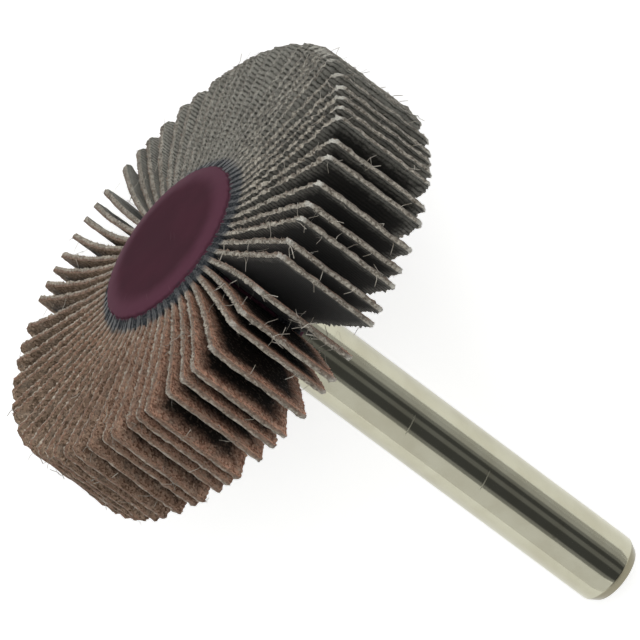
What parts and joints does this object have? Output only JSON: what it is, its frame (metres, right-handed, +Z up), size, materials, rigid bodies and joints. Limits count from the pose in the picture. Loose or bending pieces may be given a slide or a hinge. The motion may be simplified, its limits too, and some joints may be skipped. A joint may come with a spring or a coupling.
{
  "type": "mounted flap wheel",
  "caption": "Small abrasive flap wheel on a steel shank: curved cloth flaps with grain on one side, bonded round a cast resin hub, for grinding and polishing in a hand tool.",
  "frame": {"origin": "on the surface that the wheel lies on, under the middle of its bounding box", "axes": "+Z up from that surface; +X along it from the front disc towards the far end of the shank, so the wheel's own axis lies in the XZ plane and slopes down about 24 degrees towards +X"},
  "size_m": [0.0524, 0.0396, 0.0401],
  "materials": {
    "polished_steel": "polished",
    "maroon_resin": "satin",
    "abrasive_cloth": "rough"
  },
  "bodies": {
    "root": {"spindle": "polished_steel", "resin_hub": "maroon_resin", "flap_pair_01": "abrasive_cloth", "flap_pair_02": "abrasive_cloth", "flap_pair_03": "abrasive_cloth", "flap_pair_04": "abrasive_cloth", "flap_pair_05": "abrasive_cloth", "flap_pair_06": "abrasive_cloth", "flap_pair_07": "abrasive_cloth", "flap_pair_08": "abrasive_cloth", "flap_pair_09": "abrasive_cloth", "flap_pair_10": "abrasive_cloth", "flap_pair_11": "abrasive_cloth", "flap_pair_12": "abrasive_cloth", "flap_pair_13": "abrasive_cloth", "flap_pair_14": "abrasive_cloth", "flap_pair_15": "abrasive_cloth", "flap_pair_16": "abrasive_cloth", "flap_pair_17": "abrasive_cloth", "flap_pair_18": "abrasive_cloth", "flap_pair_19": "abrasive_cloth", "flap_pair_20": "abrasive_cloth", "flap_pair_21": "abrasive_cloth", "flap_pair_22": "abrasive_cloth", "flap_pair_23": "abrasive_cloth", "flap_pair_24": "abrasive_cloth", "flap_pair_25": "abrasive_cloth", "flap_pair_26": "abrasive_cloth", "flap_pair_27": "abrasive_cloth", "flap_pair_28": "abrasive_cloth", "flap_pair_29": "abrasive_cloth", "flap_pair_30": "abrasive_cloth", "flap_pair_31": "abrasive_cloth", "flap_pair_32": "abrasive_cloth", "flap_pair_33": "abrasive_cloth", "flap_pair_34": "abrasive_cloth"}
  },
  "joints": []
}
